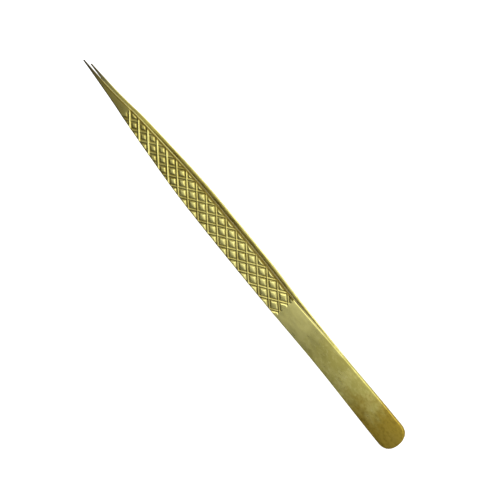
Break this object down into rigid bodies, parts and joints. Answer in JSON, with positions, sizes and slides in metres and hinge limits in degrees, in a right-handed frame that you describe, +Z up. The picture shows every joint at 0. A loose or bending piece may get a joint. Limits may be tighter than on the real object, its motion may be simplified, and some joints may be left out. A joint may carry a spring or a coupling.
{
  "type": "stamp tongs",
  "caption": "Straight fine-point stamp tongs: sprung metal arms with a pressed diamond grip, welded at a rounded heel.",
  "frame": {"origin": "on the ground under the middle of the tongs' box, with the tongs lying on the lower arm's bow", "axes": "+X from the heel towards the points, +Z up, the way the arms open, Y across the arms"},
  "size_m": [0.14, 0.008, 0.0104],
  "materials": {
    "gilt_steel": "satin, gold-coloured",
    "weld_metal": "as fused"
  },
  "bodies": {
    "heel": {"spot_weld_front": "weld_metal", "spot_weld_rear": "weld_metal"},
    "upper_arm": {"upper_arm": "gilt_steel"},
    "lower_arm": {"lower_arm": "gilt_steel"}
  },
  "joints": [
    {"name": "upper_arm_flex", "type": "hinge", "parent": "heel", "child": "upper_arm", "pos_m": [-0.044, 0, 0.00521], "axis": [0, 1, 0], "range_deg": [0, 1.36], "stiffness_Nm_per_rad": 4.5},
    {"name": "lower_arm_flex", "type": "hinge", "parent": "heel", "child": "lower_arm", "pos_m": [-0.044, 0, 0.00521], "axis": [0, -1, 0], "range_deg": [0, 1.36], "stiffness_Nm_per_rad": 4.5}
  ]
}
